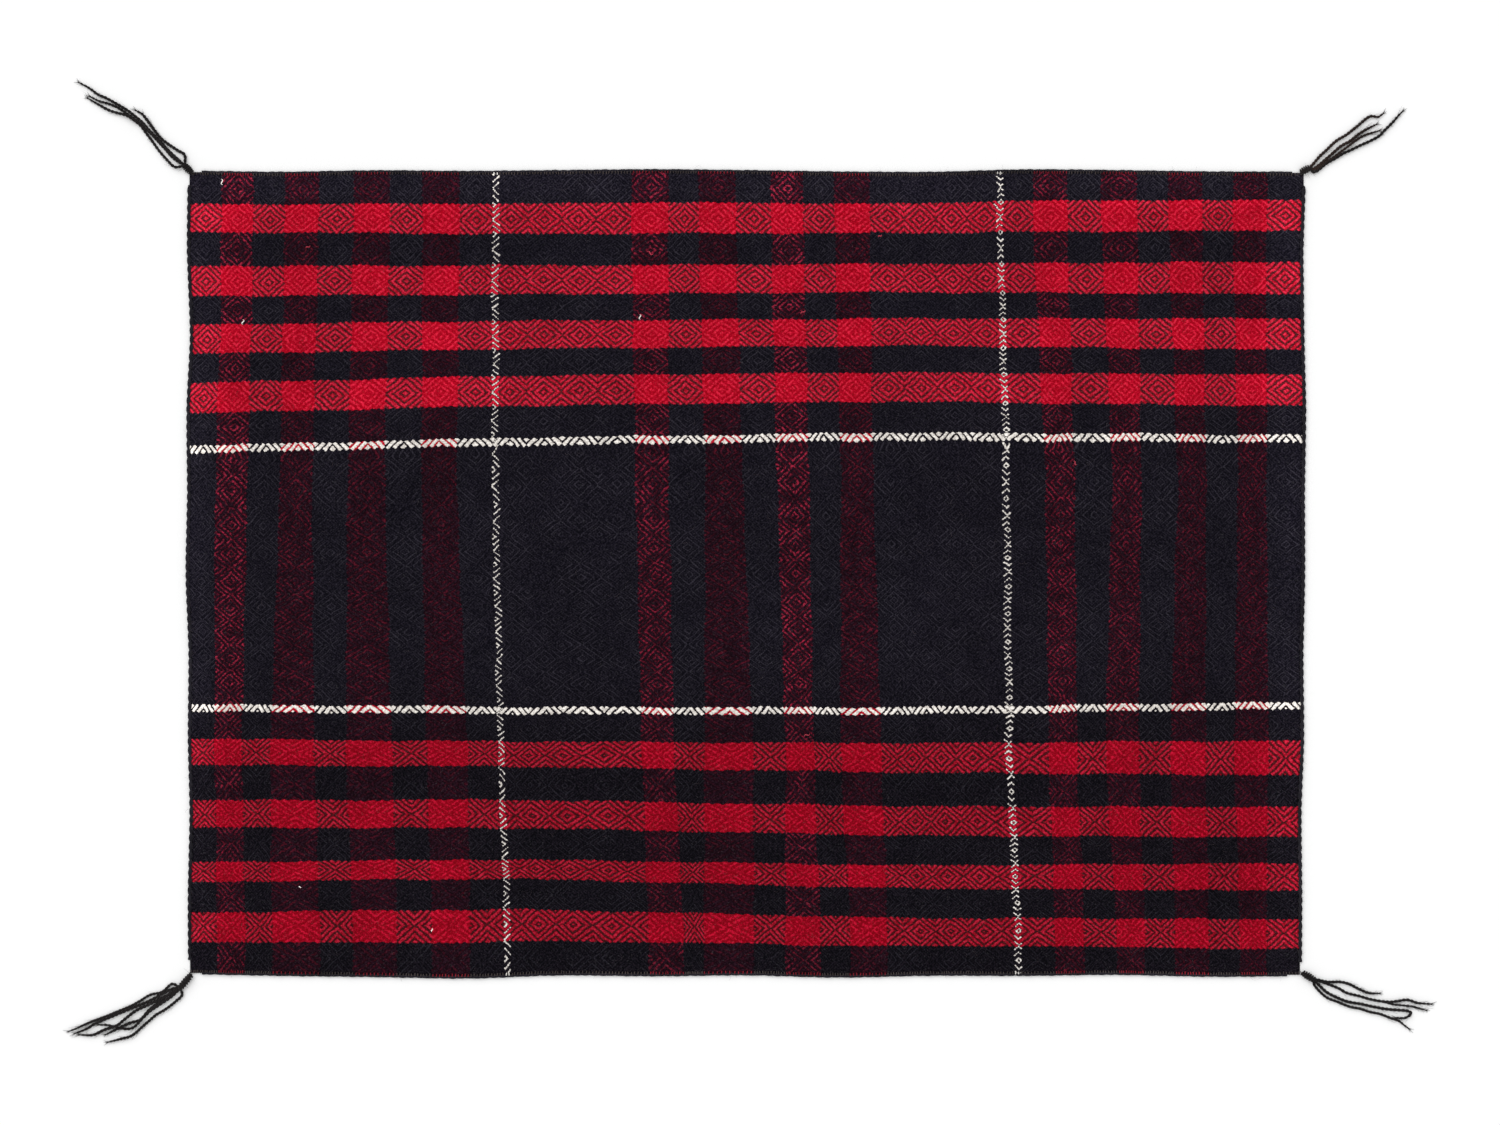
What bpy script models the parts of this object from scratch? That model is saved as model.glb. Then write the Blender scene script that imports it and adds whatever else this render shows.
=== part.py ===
"""A flat handwoven blanket: one woven web, a twined cord along each of its four edges,
and a tassel at each corner.

Metres, +Z up. The origin is on the underside at the middle of the cloth. +X runs along the
weft and +Y up the warp.
"""

import math

import bmesh
import bpy

# Driving sizes of the cloth, over its edge cords
CLOTH_LENGTH = 1.3400
CLOTH_WIDTH = 0.9670
WEB_THICKNESS = 0.0030
SEAM_GAP = 0.0005

# Low waves of the web's upper face
COCKLE_HEIGHT = 0.0005
SWELL_LENGTH = 0.450
SWELL_WIDTH = 0.370
SLANT_LENGTH = 0.290
SWELL_SHARE = 0.6

# Edge cords: the side cords are two plies laid together, the end cords are close and nearly smooth
SIDE_CORD_RADIUS = 0.0022
SIDE_CORD_WAIST = 0.66
SIDE_CORD_TWISTS = 92
END_CORD_RADIUS = 0.0017
END_CORD_WAIST = 0.88
END_CORD_LUMPS = 36

# Straight chords that each edge is drawn in, for each step of its table of bows
CHORDS = 2

# How far each edge stands out from a straight one, in millimetres, evenly spaced along that edge
SIDE_BOW = {
    "left": (-0.6, 0.0, -2.4, 0.0, -1.2, 3.0, 0.6, 1.8, -3.0, 1.2, 0.0),
    "right": (-3.0, -2.4, -3.6, 0.0, -1.2, 1.2, 0.6, 2.4, 0.0, -1.2, 2.4),
}
END_BOW = {
    "bottom": (-3.0, -0.6, 0.6, 3.0, -1.8, 0.0, -1.8, 1.8, -1.2, -0.6, -2.4, 0.6, -0.6),
    "top": (0.6, -1.2, 1.2, 0.0, 1.2, 2.4, 1.2, -0.6, -1.2, 2.4, 1.2, -0.6, -0.6),
}

# Tassels: yarn of the edge cords, knotted at the corner and lying out from it on the floor
STRAND_SIDE = 0.0040
STRAND_STEPS = 16
TAPER_START = 0.80
TIP_TAPER = 0.45
KNOT_PAST_ROOT = 0.0052
KNOT_WIDTH = 0.0050
KNOT_HEIGHT = 0.0036
ROOT_SPACING = 0.0012
ROOT_STAGGER = 0.0005

# How high each strand leaves its knot, in turn, and how far out it is down on the floor
ROOT_LIFTS = (0.0003, 0.0013, 0.0006, 0.0016, 0.0010)
LANDING = 0.0440

# Each tassel: how far out from the cloth's corner its strands' root lies, where its knot starts on
# the line from that corner to the root, and the heading of its strands, in degrees from +X towards +Y.
# Each strand: its length, then how far it lies to the left of the heading at each fifth of TASSEL_REACH.
# All but the heading are millimetres.
TASSEL_REACH = 0.1420
TASSELS = {
    "tassel_top_left": {
        "corner": ("left", "top"),
        "root_out": (2.6, 7.6),
        "knot_start": -1.0,
        "heading": 140.0,
        "strands": (
            {"length": 86.0, "across": (-6.6, -11.0, -12.6, -12.6, -12.6)},
            {"length": 160.0, "across": (-2.0, -6.4, -7.6, -2.4, 2.6)},
            {"length": 139.0, "across": (2.6, -1.8, -2.8, 2.6, 9.0)},
            {"length": 139.0, "across": (8.2, 2.9, 1.9, 7.6, 14.0)},
        ),
    },
    "tassel_top_right": {
        "corner": ("right", "top"),
        "root_out": (4.8, 5.6),
        "knot_start": -0.9,
        "heading": 33.0,
        "strands": (
            {"length": 107.0, "across": (6.0, 9.6, 10.8, 6.2, 5.6)},
            {"length": 92.0, "across": (0.2, 1.2, 1.6, -1.2, -1.2)},
            {"length": 91.0, "across": (-4.8, -3.8, -3.6, -8.6, -8.6)},
            {"length": 130.0, "across": (-9.6, -9.0, -12.6, -13.4, -0.6)},
        ),
    },
    "tassel_bottom_left": {
        "corner": ("left", "bottom"),
        "root_out": (9.8, 16.4),
        "knot_start": -1.3,
        "heading": 205.0,
        "strands": (
            {"length": 141.0, "across": (-6.6, -6.6, -7.6, -8.4, -9.2)},
            {"length": 136.0, "across": (-1.9, -2.0, -3.0, -3.8, -4.4)},
            {"length": 131.0, "across": (2.7, 2.6, 8.0, 7.2, 1.2)},
            {"length": 103.0, "across": (7.4, 13.6, 13.0, 13.4, 13.4)},
            {"length": 105.0, "across": (15.6, 22.0, 26.4, 20.6, 20.6)},
        ),
    },
    "tassel_bottom_right": {
        "corner": ("right", "bottom"),
        "root_out": (13.2, 3.8),
        "knot_start": -0.7,
        "heading": 345.0,
        "strands": (
            {"length": 80.0, "across": (4.0, 2.8, 3.6, 3.6, 3.6)},
            {"length": 143.0, "across": (-2.4, -5.2, -4.6, 4.4, 7.4)},
            {"length": 124.0, "across": (-13.0, -14.6, -13.0, -8.4, -7.6)},
            {"length": 125.0, "across": (-18.2, -20.4, -19.8, -22.6, -28.0)},
        ),
    },
}

# Colours of the yarns, linear RGB
NAVY_YARN = (0.010, 0.009, 0.015, 1.0)
BLACK_YARN = (0.008, 0.007, 0.009, 1.0)
RED_YARN = (0.300, 0.012, 0.028, 1.0)


def clear_objects():
    for item in list(bpy.data.objects):
        bpy.data.objects.remove(item, do_unlink=True)


def new_collection(name):
    collection = bpy.data.collections.new(name)
    bpy.context.scene.collection.children.link(collection)
    return collection


def wool(name, colour, roughness):
    """A matt wool finish: one Principled BSDF of the yarn's colour."""
    material = bpy.data.materials.new(name)
    material.use_nodes = True
    shader = material.node_tree.nodes["Principled BSDF"]
    shader.inputs["Base Color"].default_value = colour
    shader.inputs["Roughness"].default_value = roughness
    shader.inputs["Metallic"].default_value = 0.0
    return material


def read_smooth(values, t):
    """Reads evenly spaced values at t from 0 to 1, easing from each one to the next."""
    place = min(max(t, 0.0), 1.0) * (len(values) - 1)
    first = min(int(place), len(values) - 2)
    ease = 0.5 - 0.5 * math.cos(math.pi * (place - first))
    return values[first] + (values[first + 1] - values[first]) * ease


def read_chord(values, t):
    """Reads the eased values along straight chords, so that the web and its cord keep to one line."""
    chords = CHORDS * (len(values) - 1)
    place = min(max(t, 0.0), 1.0) * chords
    first = min(int(place), chords - 1)
    start = read_smooth(values, first / chords)
    end = read_smooth(values, (first + 1) / chords)
    return start + (end - start) * (place - first)


def side_edge(side, y):
    """X of a side edge's outermost line at y."""
    sign = -1 if side == "left" else 1
    return sign * (CLOTH_LENGTH / 2 + read_chord(SIDE_BOW[side], 0.5 + y / CLOTH_WIDTH) * 0.001)


def end_edge(end, x):
    """Y of an end edge's outermost line at x."""
    sign = -1 if end == "bottom" else 1
    return sign * (CLOTH_WIDTH / 2 + read_chord(END_BOW[end], 0.5 + x / CLOTH_LENGTH) * 0.001)


def cockle(x, y):
    """The low waves of the web's upper face: a checker of long swells and a finer slanting one."""
    swell = math.sin(math.tau * x / SWELL_LENGTH) * math.cos(math.tau * y / SWELL_WIDTH)
    slant = math.sin(math.tau * (x - y) / SLANT_LENGTH)
    return COCKLE_HEIGHT * (SWELL_SHARE * swell + (1 - SWELL_SHARE) * slant)


def make_web(collection, material):
    """The web: a grid fitted between the four edges, flat below and gently cockled above."""
    bm = bmesh.new()
    columns = CHORDS * (len(END_BOW["top"]) - 1)
    rows = CHORDS * (len(SIDE_BOW["left"]) - 1)
    bmesh.ops.create_grid(bm, x_segments=columns, y_segments=rows, size=1.0)
    side_inset = 2 * SIDE_CORD_RADIUS + SEAM_GAP
    end_inset = 2 * END_CORD_RADIUS + SEAM_GAP
    for vert in bm.verts:
        x = vert.co.x * CLOTH_LENGTH / 2
        y = vert.co.y * CLOTH_WIDTH / 2
        left = side_edge("left", y) + side_inset
        right = side_edge("right", y) - side_inset
        bottom = end_edge("bottom", x) + end_inset
        top = end_edge("top", x) - end_inset
        across = (vert.co.x + 1) / 2
        up = (vert.co.y + 1) / 2
        vert.co = (left + (right - left) * across, bottom + (top - bottom) * up, 0.0)
    raised = bmesh.ops.extrude_face_region(bm, geom=bm.faces[:])
    for item in raised["geom"]:
        if isinstance(item, bmesh.types.BMVert):
            item.co.z = WEB_THICKNESS + cockle(item.co.x, item.co.y)
    bmesh.ops.recalc_face_normals(bm, faces=bm.faces[:])
    mesh = bpy.data.meshes.new("blanket")
    bm.to_mesh(mesh)
    bm.free()
    mesh.materials.append(material)
    web = bpy.data.objects.new("blanket", mesh)
    collection.objects.link(web)
    return web


def add_tube(name, points, radii, sides_step, tilt, collection):
    """A poly-line curve with a round bevel, a radius at each point and filled caps."""
    curve = bpy.data.curves.new(name, "CURVE")
    curve.dimensions = "3D"
    curve.twist_mode = "Z_UP"
    curve.bevel_depth = max(radii)
    curve.bevel_resolution = sides_step
    curve.use_fill_caps = True
    spline = curve.splines.new("POLY")
    spline.points.add(len(points) - 1)
    for spot, place, radius in zip(spline.points, points, radii):
        spot.co = (*place, 1.0)
        spot.radius = radius / curve.bevel_depth
        spot.tilt = tilt
    tube = bpy.data.objects.new(name, curve)
    collection.objects.link(tube)
    return tube


def make_side_cord(side, collection, material):
    """Two laid plies read as a row of lumps: a full and a waisted ring for each half turn."""
    sign = -1 if side == "left" else 1
    ends = [end_edge(end, sign * CLOTH_LENGTH / 2) for end in ("bottom", "top")]
    inset = 2 * END_CORD_RADIUS + SEAM_GAP
    low = ends[0] + inset
    high = ends[1] - inset
    rings = 2 * SIDE_CORD_TWISTS + 1
    points = []
    radii = []
    for ring in range(rings):
        y = low + (high - low) * ring / (rings - 1)
        x = side_edge(side, y) - sign * SIDE_CORD_RADIUS
        points.append((x, y, SIDE_CORD_RADIUS))
        radii.append(SIDE_CORD_RADIUS * (1.0 if ring % 2 else SIDE_CORD_WAIST))
    cord = add_tube(f"side_cord_{side}", points, radii, 1, 0.0, collection)
    cord.data.materials.append(material)


def make_end_cord(end, collection, material):
    """A close twined cord, slightly lumpy, over the whole length of one end."""
    sign = -1 if end == "bottom" else 1
    corner = sign * CLOTH_WIDTH / 2
    left = side_edge("left", corner)
    right = side_edge("right", corner)
    rings = 2 * END_CORD_LUMPS + 1
    points = []
    radii = []
    for ring in range(rings):
        x = left + (right - left) * ring / (rings - 1)
        y = end_edge(end, x) - sign * END_CORD_RADIUS
        points.append((x, y, END_CORD_RADIUS))
        radii.append(END_CORD_RADIUS * (1.0 if ring % 2 else END_CORD_WAIST))
    cord = add_tube(f"end_cord_{end}", points, radii, 1, 0.0, collection)
    cord.data.materials.append(material)


def strand_route(root, heading, strand, index, root_across):
    """Points and bevel radii of one strand: along the tassel's line, set aside by the strand's own row.

    Each strand leaves the knot at its own height and comes down to the floor by LANDING.
    """
    along = (math.cos(heading), math.sin(heading))
    left = (-along[1], along[0])
    across = (root_across, *(value * 0.001 for value in strand["across"]))
    start = ROOT_STAGGER * index
    length = strand["length"] * 0.001
    points = []
    radii = []
    for step in range(STRAND_STEPS + 1):
        share = step / STRAND_STEPS
        reach = start + (length - start) * share
        aside = read_smooth(across, reach / TASSEL_REACH)
        taper = 1.0 - TIP_TAPER * max(0.0, (share - TAPER_START) / (1.0 - TAPER_START))
        half = STRAND_SIDE / 2 * taper
        lift = ROOT_LIFTS[index] * max(0.0, 1.0 - reach / LANDING)
        x = root[0] + along[0] * reach + left[0] * aside
        y = root[1] + along[1] * reach + left[1] * aside
        points.append((x, y, half + lift))
        radii.append(half * math.sqrt(2))
    return points, radii


def tube_to_mesh(tube, collection):
    """Replaces a curve by its own welded mesh, hidden as a guide for the union."""
    bpy.context.view_layer.update()
    evaluated = tube.evaluated_get(bpy.context.evaluated_depsgraph_get())
    mesh = bpy.data.meshes.new_from_object(evaluated)
    bm = bmesh.new()
    bm.from_mesh(mesh)
    bmesh.ops.remove_doubles(bm, verts=bm.verts[:], dist=0.00001)
    bmesh.ops.recalc_face_normals(bm, faces=bm.faces[:])
    bm.to_mesh(mesh)
    bm.free()
    guide = bpy.data.objects.new(f"{tube.name}_guide", mesh)
    guide.matrix_world = tube.matrix_world
    guide.hide_render = True
    guide.display_type = "WIRE"
    collection.objects.link(guide)
    bpy.data.objects.remove(tube, do_unlink=True)
    return guide


def make_knot(name, corner, root, start, collection, material):
    """The tassel's head: a long ball of wrapped yarn, from by the corner to past the strands' root."""
    out = (root[0] - corner[0], root[1] - corner[1])
    reach = math.hypot(*out)
    along = (out[0] / reach, out[1] / reach)
    half = (reach + KNOT_PAST_ROOT - start) / 2
    bm = bmesh.new()
    bmesh.ops.create_uvsphere(bm, u_segments=10, v_segments=6, radius=1.0)
    for vert in bm.verts:
        u = start + half * (1.0 + vert.co.x)
        v = vert.co.y * KNOT_WIDTH
        vert.co = (
            corner[0] + u * along[0] - v * along[1],
            corner[1] + u * along[1] + v * along[0],
            KNOT_HEIGHT * (1.0 + vert.co.z),
        )
    mesh = bpy.data.meshes.new(name)
    bm.to_mesh(mesh)
    bm.free()
    mesh.materials.append(material)
    knot = bpy.data.objects.new(name, mesh)
    collection.objects.link(knot)
    return knot


def make_tassel(name, tassel, collection, guides, material):
    """A knot with its strands united into it at their roots, apart beyond them."""
    side, end = tassel["corner"]
    side_sign = -1 if side == "left" else 1
    end_sign = -1 if end == "bottom" else 1
    corner = (side_edge(side, end_sign * CLOTH_WIDTH / 2), end_edge(end, side_sign * CLOTH_LENGTH / 2))
    root = (
        corner[0] + side_sign * tassel["root_out"][0] * 0.001,
        corner[1] + end_sign * tassel["root_out"][1] * 0.001,
    )
    heading = math.radians(tassel["heading"])
    knot = make_knot(name, corner, root, tassel["knot_start"] * 0.001, collection, material)
    count = len(tassel["strands"])
    order = 1 if tassel["strands"][0]["across"][0] < tassel["strands"][-1]["across"][0] else -1
    for index, strand in enumerate(tassel["strands"]):
        root_across = order * (index - (count - 1) / 2) * ROOT_SPACING
        points, radii = strand_route(root, heading, strand, index, root_across)
        tube = add_tube(f"{name}_strand_{index + 1}", points, radii, 0, math.radians(45), guides)
        union = knot.modifiers.new(f"strand_{index + 1}", "BOOLEAN")
        union.operation = "UNION"
        union.solver = "MANIFOLD"
        union.object = tube_to_mesh(tube, guides)


def main():
    clear_objects()
    blanket = new_collection("navajo_blanket")
    guides = new_collection("guides")
    web_wool = wool("red_and_navy_wool", RED_YARN, 0.92)
    cord_wool = wool("navy_cord_wool", NAVY_YARN, 0.88)
    tassel_wool = wool("black_tassel_wool", BLACK_YARN, 0.85)
    make_web(blanket, web_wool)
    for side in ("left", "right"):
        make_side_cord(side, blanket, cord_wool)
    for end in ("bottom", "top"):
        make_end_cord(end, blanket, cord_wool)
    for name, tassel in TASSELS.items():
        make_tassel(name, tassel, blanket, guides, tassel_wool)


main()
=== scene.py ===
"""Looks of the flat handwoven blanket: its diamond-twill web, twined edge cords and corner tassels.

Metres, +Z up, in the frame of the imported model. The web is worked out in loom space, where u
counts warp threads from the left edge and v counts picks of weft from the top edge, and laid out
in the world by the tables of its stripes.
"""

import math

import bpy
import numpy as np
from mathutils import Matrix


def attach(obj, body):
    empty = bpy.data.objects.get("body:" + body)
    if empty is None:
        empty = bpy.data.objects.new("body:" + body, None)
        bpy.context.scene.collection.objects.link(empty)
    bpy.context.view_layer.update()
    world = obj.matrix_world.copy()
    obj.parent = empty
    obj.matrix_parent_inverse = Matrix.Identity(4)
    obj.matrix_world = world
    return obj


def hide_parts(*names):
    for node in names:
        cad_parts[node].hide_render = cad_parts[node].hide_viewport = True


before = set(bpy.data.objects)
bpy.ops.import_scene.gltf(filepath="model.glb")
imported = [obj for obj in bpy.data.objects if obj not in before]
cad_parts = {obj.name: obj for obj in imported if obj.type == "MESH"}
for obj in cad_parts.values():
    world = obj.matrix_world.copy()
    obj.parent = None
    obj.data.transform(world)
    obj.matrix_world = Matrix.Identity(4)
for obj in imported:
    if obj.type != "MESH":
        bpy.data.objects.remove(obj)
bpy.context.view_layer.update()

MM = 0.001

# The photograph is taken straight from above: metres of blanket for each of its pixels, and the
# pixel over the middle of the cloth
METRES_PER_PIXEL = 0.0012
CLOTH_MIDDLE = (746.0, 573.75)
PHOTO_SIZE = (1500, 1125)

# Loom counts
CELL = 20
WARP_CELLS = 33
WARPS = CELL * WARP_CELLS
PICKS = 550
GRID_THREADS = 2
RED_CELLS_PERIOD = 12
RED_CELLS_LAST = 8
WHITE_WARPS = (182.0, 480.0)
WHITE_THREADS = 4.0
LOWER_START = 390

# Heights of the web
WEB_TOP = 2.75 * MM
WEB_UNDERSIDE = 0.20 * MM
EDGE_HEIGHT = 1.0 * MM
TWILL_RELIEF = 0.5 * MM

# Warp stripes: the cell of each red stripe, then its middle and its width in photo pixels near the
# top edge, in mid-field, below mid-field and near the bottom edge, and the share of its red that
# shows between navy wefts
WARP_ROWS = (218.0, 480.0, 755.0, 929.0)
WARP_STRIPES = [
    {"cell": 1, "middle": (238, 232, 228, 231), "width": (31, 31, 27, 28), "shows": 0.2},
    {"cell": 3, "middle": (302, 296, 292, 296), "width": (34, 32, 44, 48), "shows": 0.065},
    {"cell": 5, "middle": (372, 366, 369, 375), "width": (36, 37, 46, 44), "shows": 0.055},
    {"cell": 7, "middle": (441, 439, 447, 451), "width": (37, 35, 41, 38), "shows": 0.036},
    {"cell": 13, "middle": (650, 652, 658, 666), "width": (37, 33, 32, 35), "shows": 0.15},
    {"cell": 15, "middle": (717, 724, 729, 729), "width": (37, 37, 49, 50), "shows": 0.045},
    {"cell": 17, "middle": (787, 793, 800, 803), "width": (32, 32, 28, 35), "shows": 0.21},
    {"cell": 19, "middle": (852, 857, 861, 869), "width": (35, 32, 41, 37), "shows": 0.062},
    {"cell": 25, "middle": (1050, 1060, 1063, 1070), "width": (34, 29, 28, 29), "shows": 0.14},
    {"cell": 27, "middle": (1119, 1127, 1122, 1131), "width": (36, 29, 33, 28), "shows": 0.1},
    {"cell": 29, "middle": (1185, 1192, 1188, 1192), "width": (34, 28, 35, 34), "shows": 0.055},
    {"cell": 31, "middle": (1250, 1252, 1252, 1254), "width": (34, 28, 35, 28), "shows": 0.06},
]

# Where the navy cells of the two wide parts start, in photo pixels in the same four rows
NAVY_CELLS = [
    {"cell": 9, "start": (492, 492, 498, 504)},
    {"cell": 10, "start": (527, 525, 528, 538)},
    {"cell": 11, "start": (561, 560, 562, 572)},
    {"cell": 12, "start": (596, 597, 604, 611)},
    {"cell": 21, "start": (903, 906, 912, 919)},
    {"cell": 22, "start": (935, 938, 941, 950)},
    {"cell": 23, "start": (967, 972, 972, 983)},
    {"cell": 24, "start": (1000, 1006, 1009, 1018)},
]

# Weft stripes: the pick where each starts, its picks, then its middle and its width in photo
# pixels near the left edge, at a third, at two thirds and near the right edge
WEFT_COLUMNS = (200.0, 500.0, 900.0, 1250.0)
WEFT_STRIPES = [
    {"pick": 20, "picks": 20, "middle": (218, 219, 218, 215), "width": (28, 30, 30, 31)},
    {"pick": 60, "picks": 20, "middle": (281, 280, 278, 278), "width": (30, 29, 28, 32)},
    {"pick": 100, "picks": 20, "middle": (339, 335, 332, 334), "width": (29, 28, 27, 31)},
    {"pick": 140, "picks": 20, "middle": (398, 391, 387, 390), "width": (30, 30, 29, 31)},
    {"pick": 183, "picks": 4, "middle": (449, 441.5, 436, 438), "width": (7, 7, 7, 7)},
    {"pick": 366, "picks": 4, "middle": (708, 710.5, 711, 706), "width": (7, 7, 7, 7)},
    {"pick": 390, "picks": 20, "middle": (752, 754, 758, 758), "width": (26, 25, 29, 34)},
    {"pick": 430, "picks": 20, "middle": (814, 814, 821, 822), "width": (27, 28, 29, 30)},
    {"pick": 472, "picks": 18, "middle": (872, 869, 877, 877), "width": (20, 19, 23, 27)},
    {"pick": 511, "picks": 20, "middle": (928, 925, 932, 934), "width": (31, 32, 28, 30)},
]

# Where the middles of the wide part's navy cells lie, in photo pixels in the same four columns
NAVY_PICKS = [
    {"pick": 190, "place": (460, 453, 449, 450)},
    {"pick": 210, "place": (491, 485, 480, 481)},
    {"pick": 230, "place": (526, 521, 514, 515)},
    {"pick": 250, "place": (554, 550, 543, 544)},
    {"pick": 270, "place": (581, 578, 571, 571)},
    {"pick": 290, "place": (607, 606, 600, 599)},
    {"pick": 310, "place": (631, 631, 628, 625)},
    {"pick": 330, "place": (657, 659, 657, 652)},
    {"pick": 350, "place": (682, 685, 682, 678)},
]

# Colours of the yarns, linear RGB: each wool in a deep colour, painted shade for its hollows, and a bright
# one, painted highlight for its crests, mixed by a yarn's lead and a random fibre grain. The _SHADE colours
# are painted shade on yarn recessed among the other system's yarns, with fuzz of its neighbours in them
RED = ((0.40, 0.0004, 0.010), (0.74, 0.019, 0.056))
LOWER_RED = ((0.23, 0.0002, 0.0065), (0.56, 0.0060, 0.033))
NAVY = ((0.0028, 0.0023, 0.0058), (0.0200, 0.0170, 0.0262))
LOWER_NAVY = ((0.0014, 0.0012, 0.0030), (0.0150, 0.0112, 0.0175))
CREAM = ((0.60, 0.555, 0.51), (0.97, 0.93, 0.87))
RED_WARP_SHADE = ((0.30, 0.0002, 0.007), (0.52, 0.0020, 0.024))
OLIVE_SHADE = ((0.046, 0.0050, 0.0075), (0.165, 0.0160, 0.0220))
PINK_FUZZ = ((0.31, 0.0020, 0.0120), (0.63, 0.0300, 0.0720))
GREY_CREST_HIGHLIGHT = ((0.0030, 0.0026, 0.0055), (0.0300, 0.0265, 0.0370))
GREY_SPECK = (0.13, 0.125, 0.135)
PLUM_SHADE = ((0.0060, 0.0009, 0.0030), (0.0230, 0.0052, 0.0125))
WARM_RED_SPECK = (0.50, 0.026, 0.068)


def world_x(pixel):
    return (np.asarray(pixel, float) - CLOTH_MIDDLE[0]) * METRES_PER_PIXEL


def world_y(pixel):
    return (CLOTH_MIDDLE[1] - np.asarray(pixel, float)) * METRES_PER_PIXEL


def make_mesh(name, points, faces, corners=None):
    """An object from points, faces and, for each corner of each face in turn, its thread place."""
    mesh = bpy.data.meshes.new(name)
    mesh.from_pydata(points, [], faces)
    mesh.polygons.foreach_set("use_smooth", np.full(len(mesh.polygons), True))
    if corners is not None:
        layer = mesh.uv_layers.new(name="threads")
        layer.data.foreach_set("uv", np.asarray(corners, np.float32).ravel())
    mesh.update()
    thing = bpy.data.objects.new(name, mesh)
    bpy.context.scene.collection.objects.link(thing)
    return thing


def cord_line(node, along, bins=36):
    """Centre line of a CAD edge cord: the middle of its width in each short stretch along it."""
    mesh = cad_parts[node].data
    points = np.empty(len(mesh.vertices) * 3)
    mesh.vertices.foreach_get("co", points)
    points = points.reshape(-1, 3)
    place = points[:, along]
    across = points[:, 1 - along]
    step = (place.max() - place.min()) / bins
    stretch = np.minimum((place - place.min()) / step, bins - 1).astype(int)
    low = np.full(bins, np.inf)
    high = np.full(bins, -np.inf)
    np.minimum.at(low, stretch, across)
    np.maximum.at(high, stretch, across)
    return place.min() + step * (np.arange(bins) + 0.5), (low + high) / 2


EDGES = {
    "left": cord_line("side_cord_left", 1),
    "right": cord_line("side_cord_right", 1),
    "bottom": cord_line("end_cord_bottom", 0),
    "top": cord_line("end_cord_top", 0),
}


def edge_at(edge, place):
    """Where the centre line of an edge cord runs at each place along it."""
    return np.interp(place, *EDGES[edge])


def ramp(value, start, end):
    """0 up to start, 1 from end, and a smooth step between them."""
    share = np.clip((value - start) / (end - start), 0.0, 1.0)
    return share * share * (3 - 2 * share)


def hat_weights(place, stations):
    """For each place, how much each station counts: straight lines from one station to the next."""
    return np.stack([np.interp(place, stations, row) for row in np.eye(len(stations))], axis=-1)


def warp_places():
    """Photo x of every warp count from 0 to WARPS, one row for each of WARP_ROWS."""
    counts = np.arange(WARPS + 1)
    rows = []
    for row in range(len(WARP_ROWS)):
        knots = [(0, 190.0)]
        for stripe in WARP_STRIPES:
            middle, width = stripe["middle"][row], stripe["width"][row]
            start = stripe["cell"] * CELL
            knots += [(start, middle - width / 2), (start + CELL, middle + width / 2)]
        knots += [(navy["cell"] * CELL, navy["start"][row]) for navy in NAVY_CELLS]
        knots = sorted([*knots, (WARPS, 1303.0)])
        rows.append(np.interp(counts, *zip(*knots)))
    return np.array(rows)


def weft_places():
    """Photo y of every pick count from 0 to PICKS, one row for each of WEFT_COLUMNS."""
    counts = np.arange(PICKS + 1)
    rows = []
    for column in range(len(WEFT_COLUMNS)):
        knots = [(0, 172.0)]
        for stripe in WEFT_STRIPES:
            middle, width = stripe["middle"][column], stripe["width"][column]
            start = stripe["pick"]
            knots += [(start, middle - width / 2), (start + stripe["picks"], middle + width / 2)]
        knots += [(navy["pick"], navy["place"][column]) for navy in NAVY_PICKS]
        knots = sorted([*knots, (PICKS, 975.5)])
        rows.append(np.interp(counts, *zip(*knots)))
    return np.array(rows)


WARP_PLACES = warp_places()
WEFT_PLACES = weft_places()
WARP_MEANS = WARP_PLACES.mean(axis=0)
WEFT_MEANS = WEFT_PLACES.mean(axis=0)


def read_counts(rows, counts):
    """The rows read at counts that need not be whole."""
    whole = np.arange(rows.shape[1])
    return np.stack([np.interp(counts, whole, row) for row in rows])


def lay(u, v):
    """World x and y of loom places (u, v): each thread runs through its tabled places, smoothly
    from row to row, with a slow wander, and bends into the edge cords near the borders."""
    u, v = np.broadcast_arrays(np.asarray(u, float), np.asarray(v, float))
    row_weights = hat_weights(np.interp(v, np.arange(PICKS + 1), WEFT_MEANS), WARP_ROWS)
    column_weights = hat_weights(np.interp(u, np.arange(WARPS + 1), WARP_MEANS), WEFT_COLUMNS)
    x = world_x((row_weights * np.moveaxis(read_counts(WARP_PLACES, u), 0, -1)).sum(axis=-1))
    y = world_y((column_weights * np.moveaxis(read_counts(WEFT_PLACES, v), 0, -1)).sum(axis=-1))
    wander_x = 0.7 * np.sin(v * 0.071 + np.sin(u * 0.031) * 2.0) + 0.4 * np.sin(v * 0.19 + u * 0.05)
    wander_y = 0.6 * np.sin(u * 0.063 + np.sin(v * 0.027) * 2.0) + 0.4 * np.sin(u * 0.17 + v * 0.04)
    inside = ramp(u, 0, 40) * ramp(WARPS - u, 0, 40) * ramp(v, 0, 40) * ramp(PICKS - v, 0, 40)
    x = x + wander_x * MM * inside
    y = y + wander_y * MM * inside
    first_x, last_x = world_x(190.0), world_x(1303.0)
    first_y, last_y = world_y(172.0), world_y(975.5)
    x_out = x + (edge_at("left", y) - first_x) * (1 - ramp(u, 0, 48))
    x_out = x_out + (edge_at("right", y) - last_x) * (1 - ramp(WARPS - u, 0, 48))
    y_out = y + (edge_at("top", x) - first_y) * (1 - ramp(v, 0, 48))
    y_out = y_out + (edge_at("bottom", x) - last_y) * (1 - ramp(PICKS - v, 0, 48))
    return x_out, y_out


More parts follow.
